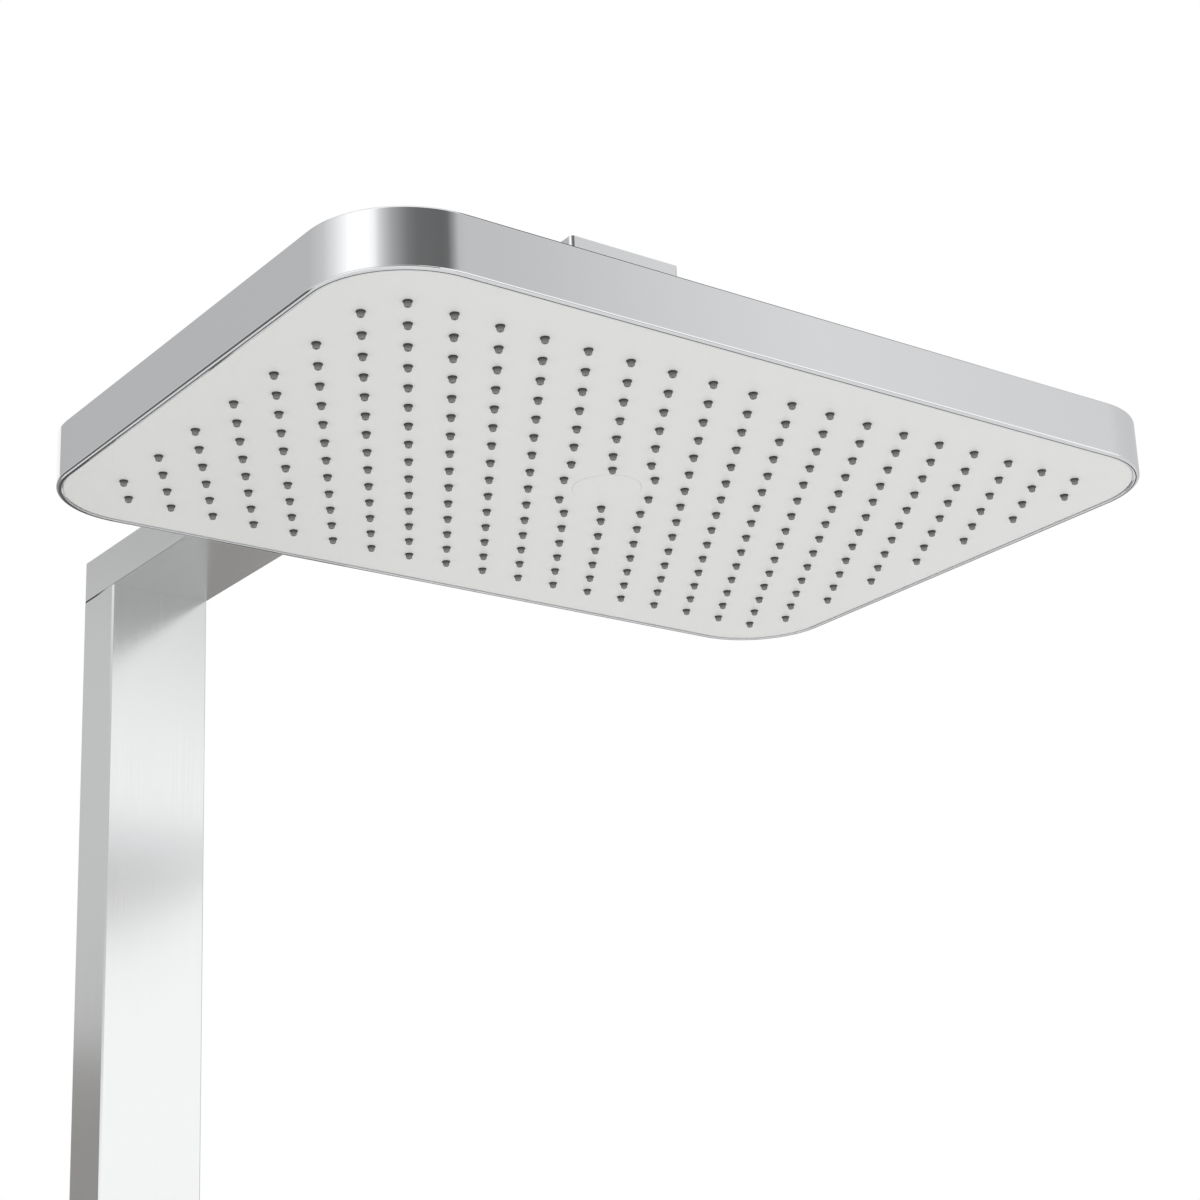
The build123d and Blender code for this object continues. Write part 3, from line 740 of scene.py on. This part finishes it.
# %% Socket screws on the arm, under the foot and in the column's sides
head_radius = 3.2 * mm
head_height = 1.8 * mm
head_edge = 0.7 * mm
shank_radius = 1.6 * mm
shank_length = 8.0 * mm
upside_down = Matrix.Rotation(math.pi, 4, "X")
for name, node, end, turn in (("arm_top_screws", "arm_screws", 1, Matrix()),
                              ("foot_plate_screws", "foot_screws", 0, upside_down)):
    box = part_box(node)
    reach = box[1].x - head_radius
    middle_y = (box[0].y + box[1].y) / 2
    spots = [Matrix.Translation((side * reach, middle_y, box[end].z)) @ turn for side in (-1, 1)]
    screw = socket_screw(head_radius, head_height, head_edge, shank_radius, shank_length)
    finish_piece(copies(screw, spots), name, [rolled_steel], "column", node)

lock_low, lock_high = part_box("lock_screws")
lock_middle = (lock_low + lock_high) / 2
lock_radius = 2.0 * mm
lock_length = 4.6 * mm
lock_edge = 0.3 * mm
spots = [Matrix.Translation((side * lock_high.x, lock_middle.y, lock_middle.z))
         @ Matrix.Rotation(side * math.pi / 2, 4, "Y") for side in (-1, 1)]
lock_pair = copies(socket_screw(lock_radius, lock_length, lock_edge), spots)
finish_piece(lock_pair, "side_lock_screws", [rolled_steel], "column", "lock_screws")

# %% [markdown]
# ## The collar of the ball joint
#
# The head hangs on a ball, and a chromed collar screws over it. It is a turned ring: a closed profile is
# spun about the head's axis. Every third face of its outer wall is then inset and pushed in a little, which
# gives sixteen flutes for the fingers.

# %% Fluted collar
collar_low, collar_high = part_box("collar_nut")
collar_radius = (collar_high.x - collar_low.x) / 2
collar_height = collar_high.z - collar_low.z
collar_bore = 15.05 * mm
collar_dome = 3.0 * mm
collar_foot = 0.4 * mm
mouth_radius = 8.05 * mm
seat_radius = 9.8 * mm
seat_height = 2.5 * mm
flute_width = 0.3 * mm
flute_depth = 0.4 * mm
turned_sides = 48

profile = [(collar_bore, 0), (collar_radius - collar_foot, 0), (collar_radius, collar_foot)]
profile += [(collar_radius - collar_dome * (1 - math.cos(turn)),
             collar_height - collar_dome * (1 - math.sin(turn))) for turn in round_steps]
profile += [(mouth_radius, collar_height), (seat_radius, collar_height - seat_height),
            (collar_bore, collar_height - seat_height)]
collar = bmesh.new()
turn_profile(collar, profile, head_middle, collar_low.z, turned_sides)
bmesh.ops.recalc_face_normals(collar, faces=collar.faces)
wall_height = collar_low.z + (collar_foot + collar_height - collar_dome) / 2
outer_faces = [f for f in collar.faces if abs(f.calc_center_median().z - wall_height) < mm
               and (f.calc_center_median() - head_middle).xy.length > collar_radius - mm]
outer_faces.sort(key=lambda f: math.atan2(f.normal.y, f.normal.x))
bmesh.ops.inset_individual(collar, faces=outer_faces[::3], thickness=flute_width, depth=-flute_depth)
finish_piece(collar, "fluted_collar", [chrome], "head", "collar_nut")

# %% [markdown]
# ## The seal under the ball
#
# A rubber ring lies in the cup below the ball and keeps the water in. The collar hides it, but it is a piece
# of its own when the joint is taken apart. It is turned like the collar, with soft edges.

# %% Rubber ring in the cup
seal_low, seal_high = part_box("ball_seal")
seal_radius = (seal_high.x - seal_low.x) / 2
seal_height = seal_high.z - seal_low.z
seal_bore = 8.2 * mm
seal_edge = 0.4 * mm
seal_lift = 0.05 * mm

seal = bmesh.new()
turn_profile(seal, [
    (seal_bore, seal_lift), (seal_radius - seal_edge, seal_lift), (seal_radius, seal_lift + seal_edge),
    (seal_radius, seal_height - seal_edge), (seal_radius - seal_edge, seal_height),
    (seal_bore, seal_height)], head_middle, seal_low.z, turned_sides)
finish_piece(seal, "cup_seal", [black_rubber], "seal", "ball_seal")

# %% [markdown]
# ## The threaded inlet
#
# Water comes in from below through a brass tail with a half-inch pipe thread. The tail and the tube above
# it are one turned profile. The thread is a ridge: a small closed shape that is spun round while each step
# also lifts it a little, so that one turn climbs one pitch.

# %% Brass riser
riser_low, riser_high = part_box("riser_pipe")
riser_middle = (riser_low + riser_high) / 2
inlet_core = 9.5 * mm
inlet_length = 16 * mm
inlet_edge = 0.6 * mm
clamp_radius = (riser_high.x - riser_low.x) / 2
clamp_length = 19 * mm
tube_radius = 7.0 * mm
inlet_bore = 6.5 * mm
tube_bore = 4.4 * mm
bore_step = 25 * mm
riser_length = riser_high.z - riser_low.z

riser = bmesh.new()
turn_profile(riser, [
    (inlet_bore, 0), (inlet_core - inlet_edge, 0), (inlet_core, inlet_edge), (inlet_core, inlet_length),
    (clamp_radius, inlet_length), (clamp_radius, inlet_length + clamp_length),
    (tube_radius, inlet_length + clamp_length), (tube_radius, riser_length), (tube_bore, riser_length),
    (tube_bore, bore_step), (inlet_bore, bore_step)], riser_middle, riser_low.z, turned_sides)
print("riser length:", round(riser_length, 4))

# %% Thread of the riser
thread_pitch = 1.814 * mm
thread_start = 1.4 * mm
steps_in_turn = 24
thread_turns = 7.5
crest_radius = 10.48 * mm
crest_half = 0.12 * mm
root_sink = 0.05 * mm
root_radius = inlet_core - root_sink
root_half = 0.75 * mm

ridge = [(root_radius, -root_half), (crest_radius, -crest_half), (crest_radius, crest_half),
         (root_radius, root_half)]
ridge_base = riser_low.z + thread_start
points = [riser.verts.new((riser_middle.x + r, riser_middle.y, ridge_base + z)) for r, z in ridge]
edges = [riser.edges.new(pair) for pair in zip(points, points[1:] + points[:1])]
last = bmesh.ops.spin(riser, geom=points + edges, axis=(0, 0, 1), cent=(riser_middle.x, riser_middle.y, 0),
                      dvec=(0, 0, thread_pitch / steps_in_turn), angle=2 * math.pi * thread_turns,
                      steps=int(steps_in_turn * thread_turns))["geom_last"]
bmesh.ops.contextual_create(riser, geom=edges)
bmesh.ops.contextual_create(riser, geom=only(bmesh.types.BMEdge, last))
finish_piece(riser, "threaded_riser", [turned_brass], "column", "riser_pipe")

# %% [markdown]
# ## Studio
#
# The object hangs in a white studio. The world is white for the camera and for mirrors, and a little lower
# for plain light, so that the white face keeps its own tone. A pale floor lies under the foot.

# %% World
plain_level = 0.75
shown_level = 1.0
world = bpy.data.worlds.new("white_studio")
bpy.context.scene.world = world
world.use_nodes = True
tree = world.node_tree
sky = tree.nodes["Background"]
sky.inputs["Color"].default_value = linear("#ffffff")
path = add_node(tree, "ShaderNodeLightPath")
seen = add_node(tree, "ShaderNodeMath", {
    0: path.outputs["Is Camera Ray"], 1: path.outputs["Is Glossy Ray"]}, operation="MAXIMUM")
shown = add_node(tree, "ShaderNodeMath", {
    0: seen.outputs[0], 1: path.outputs["Is Transmission Ray"]}, operation="MAXIMUM")
level = add_node(tree, "ShaderNodeMapRange", {
    "Value": shown.outputs[0], "To Min": plain_level, "To Max": shown_level})
tree.links.new(level.outputs["Result"], sky.inputs["Strength"])
print("world:", world.name)


# %% Floor
def stage_piece(bm, name, material):
    """A piece of the studio, which isn't part of the object."""
    mesh = bpy.data.meshes.new(name)
    bm.to_mesh(mesh)
    bm.free()
    mesh.materials.append(material)
    piece = bpy.data.objects.new(name, mesh)
    bpy.context.scene.collection.objects.link(piece)
    return piece


floor_gap = 2 * mm
floor_radius = 6.0
floor_sides = 96
floor_height = cad_box[0].z - floor_gap
floor_paint, tree, shader = new_material("pale_floor_paint")
shader.inputs["Base Color"].default_value = linear("#f4f4f3")
shader.inputs["Roughness"].default_value = 0.8
floor = bmesh.new()
bmesh.ops.create_circle(floor, cap_ends=True, radius=floor_radius, segments=floor_sides,
                        matrix=Matrix.Translation((0, 0, floor_height)))
stage_piece(floor, "floor", floor_paint)
print("floor height:", round(floor_height, 4))

# %% [markdown]
# ## Panels for the chrome to look at
#
# A mirror needs something to show. Photographers stand grey, black and white panels round chrome so that
# its edges read against the white room. Here curved panels stand round the head, all but a gap at the back.
# The main ones share one paint, which goes from grey to white to dark to pale grey as the bearing grows,
# counted in degrees from +X towards +Y. Plain ones below them are for the column, low ones on the floor are
# for the other sides of the head, and high dark ones draw a thin line on the top edge of the rim. Only
# mirror rays see them: they give no light and throw no shadow.


# %% Paint of the panels
def glowing_paint(name, colour, strength):
    """A paint that shows one tone in every light."""
    material = bpy.data.materials.new(name)
    material.use_nodes = True
    tree = material.node_tree
    tree.nodes.remove(tree.nodes["Principled BSDF"])
    glow = add_node(tree, "ShaderNodeEmission", {"Color": colour, "Strength": strength})
    tree.links.new(glow.outputs[0], tree.nodes["Material Output"].inputs["Surface"])
    return material, tree, glow


panel_strength = 1.2
panel_paint, tree, glow = glowing_paint("painted_studio_panel", linear("#ffffff"), panel_strength)
place = add_node(tree, "ShaderNodeTexCoord")
turned = add_node(tree, "ShaderNodeMapping", {
    "Vector": place.outputs["Object"], "Location": (-head_middle.x, -head_middle.y, 0)})
round_about = add_node(tree, "ShaderNodeTexGradient", {
    "Vector": turned.outputs["Vector"]}, gradient_type="RADIAL")
paint = add_node(tree, "ShaderNodeValToRGB", {"Fac": round_about.outputs["Fac"]})
tree.links.new(paint.outputs["Color"], glow.inputs["Color"])
# Each pair has a bearing and a tone, where 1 is the white of the room
panel_tones = [
    (45, 0.60), (100, 0.49), (130, 0.53), (151, 0.63), (165, 0.83), (179, 1.10), (186, 1.17), (202, 1.17),
    (208, 1.04), (213, 0.75), (219, 0.55), (225, 0.41), (231, 0.32), (240, 0.21), (250, 0.16), (274, 0.145),
    (280, 0.165), (286, 0.33), (292, 0.55), (302, 0.60), (306, 0.69), (311, 0.77), (318, 0.72), (332, 0.66),
    (359, 0.62),
]
ramp = paint.color_ramp
# A new ramp has two stops already
for step, (bearing, tone) in enumerate(panel_tones):
    stop = (bearing / 360 + 0.5) % 1.0
    element = ramp.elements[step] if step < 2 else ramp.elements.new(stop)
    element.position = stop
    element.color = (*[tone / panel_strength] * 3, 1)
print("tones along the panels:", len(panel_tones))


# %% Helpers for panels
panel_radius = 3.0


def only_in_mirrors(piece):
    """Hides a panel from everything but mirror rays."""
    for ray in ("camera", "diffuse", "transmission", "volume_scatter", "shadow"):
        setattr(piece, "visible_" + ray, False)


def curved_panel(name, paint, start, end, bottom, top):
    """Part of a drum round the head, between two bearings in degrees and two heights."""
    bm = bmesh.new()
    post = [bm.verts.new((head_middle.x + panel_radius, head_middle.y, height)) for height in (bottom, top)]
    post.append(bm.edges.new(post))
    middle = (head_middle.x, head_middle.y, 0)
    turn = end - start
    bmesh.ops.rotate(bm, verts=post[:2], cent=middle, matrix=Matrix.Rotation(math.radians(start), 3, "Z"))
    bmesh.ops.spin(bm, geom=post, axis=(0, 0, 1), cent=middle, angle=math.radians(turn), steps=turn)
    only_in_mirrors(stage_piece(bm, name, paint))


def plain_paint(name, tone):
    """A grey paint. A tone of 1 is as bright as the white room."""
    return glowing_paint(name, linear("#ffffff"), tone)[0]


side_paint = plain_paint("painted_side_panel", 0.62)
corner_paint = plain_paint("painted_corner_panel", 0.58)
front_paint = plain_paint("painted_front_panel", 1.13)
dark_paint = plain_paint("painted_dark_panel", 0.12)
print("plain paints:", side_paint.name, corner_paint.name, front_paint.name, dark_paint.name)

# %% Panels round the head
panel_top = 4.0
panel_edge = 3.3
dark_top = 6.0
left_sill = 1.02
corner_sill = 1.15
# Each row has a name, a paint, the first and last bearing, and the height of the lower and upper edge
panels = [
    ("panel_left", panel_paint, 100, 150, left_sill, panel_top),
    ("panel_corner", panel_paint, 150, 284, corner_sill, panel_top),
    ("panel_middle", panel_paint, 284, 300, 1.42, panel_top),
    ("panel_right", panel_paint, 300, 335, 1.06, panel_edge),
    ("panel_far_right", panel_paint, 335, 405, 0.8, panel_edge),
    ("low_panel_left", side_paint, 100, 150, -0.7, left_sill),
    ("low_panel_corner", corner_paint, 150, 250, 0.35, corner_sill),
    ("low_panel_front", front_paint, 276, 318, -0.2, 1.05),
    ("high_panel_back", dark_paint, 45, 72, 1.35, 5.2),
    ("ring_front", panel_paint, 150, 270, floor_height, 0.3),
    ("ring_right", panel_paint, 324, 398, floor_height, 0.75),
    ("high_panel_right", dark_paint, 316, 405, panel_edge, dark_top),
]
for panel in panels:
    curved_panel(*panel)
print("panels:", len(panels))

# %% [markdown]
# The underside of the arm looks back and down, past the head, and its rear part looks at the column, which
# looks down at the front. A grey card stands in each of these places and gives the arm its quiet tone. Two
# dark cards stand low behind the head. The round lip shows them as a dark line along its left side and at
# its rear left corner.

# %% Grey cards for the arm and dark cards for the lip
back_paint = glowing_paint("painted_back_card", linear("#989694"), 1.0)[0]
floor_card_paint = plain_paint("painted_floor_card", 0.42)


def upright_card(name, paint, middle, width, height):
    """An upright card across the room."""
    bm = bmesh.new()
    place = Matrix.Translation(middle) @ Matrix.Rotation(math.radians(90), 4, "X")
    bmesh.ops.create_grid(bm, x_segments=1, y_segments=1, size=0.5,
                          matrix=place @ Matrix.Diagonal((width, height, 1, 1)))
    only_in_mirrors(stage_piece(bm, name, paint))


upright_card("low_card", back_paint, middle=(0.05, 1.3, -0.35), width=1.7, height=0.9)
upright_card("front_card", floor_card_paint, middle=(0.85, -1.74, -0.66), width=1.0, height=0.42)
upright_card("left_card", dark_paint, middle=(-0.79, 0.66, -0.41), width=0.66, height=0.96)
upright_card("rear_card", dark_paint, middle=(0.30, 0.66, -0.44), width=0.30, height=0.22)
print("cards:", back_paint.name, floor_card_paint.name, dark_paint.name)

# %% [markdown]
# ## Soft lamps
#
# Two large lamps soften the light further: one high in front, and one that lies on the floor and looks up,
# as a bright floor would. Their size is what makes the shadows soft. Mirrors don't show them, so they stay
# out of the chrome.


# %% Soft lamps
def soft_lamp(name, spot, aim, size, power):
    """A square area lamp that looks at a point."""
    lamp = bpy.data.lights.new(name, "AREA")
    lamp.size = size
    lamp.energy = power
    lamp_object = bpy.data.objects.new(name, lamp)
    lamp_object.location = spot
    lamp_object.rotation_euler = (Vector(aim) - Vector(spot)).to_track_quat("-Z", "Y").to_euler()
    lamp_object.visible_glossy = False
    lamp_object.visible_camera = False
    bpy.context.scene.collection.objects.link(lamp_object)


lamp_lift = 50 * mm
low_spot = Vector((0.5, -0.9, floor_height + lamp_lift))
soft_lamp("high_lamp", spot=(-1.2, -1.8, 1.6), aim=head_middle, size=1.6, power=14)
soft_lamp("low_lamp", spot=low_spot, aim=(low_spot.x, low_spot.y, 0), size=1.4, power=2.2)
print("height of the low lamp:", round(low_spot.z, 4))

# %% [markdown]
# ## Camera
#
# The viewing angle is worked out from the photograph: the grid of nozzles gives the direction and the
# distance, and the column and the arm set the lens. The lens is given for a square picture on a sensor
# 36 mm wide.

# %% Camera at the photograph's viewing angle
sensor_width = 36.0
lens_length = 77.05
camera_place = (-0.5293, -1.0892, -0.3337)
camera_turn = (109.038, 2.291, -36.062)

camera_data = bpy.data.cameras.new("camera")
camera_data.sensor_width = sensor_width
camera_data.lens = lens_length
camera = bpy.data.objects.new("camera", camera_data)
camera.location = camera_place
camera.rotation_euler = [math.radians(angle) for angle in camera_turn]
bpy.context.scene.collection.objects.link(camera)
bpy.context.scene.camera = camera
bpy.context.scene.view_settings.view_transform = "Standard"
print("camera distance to the head:", round((camera.location - head_middle).length, 3))
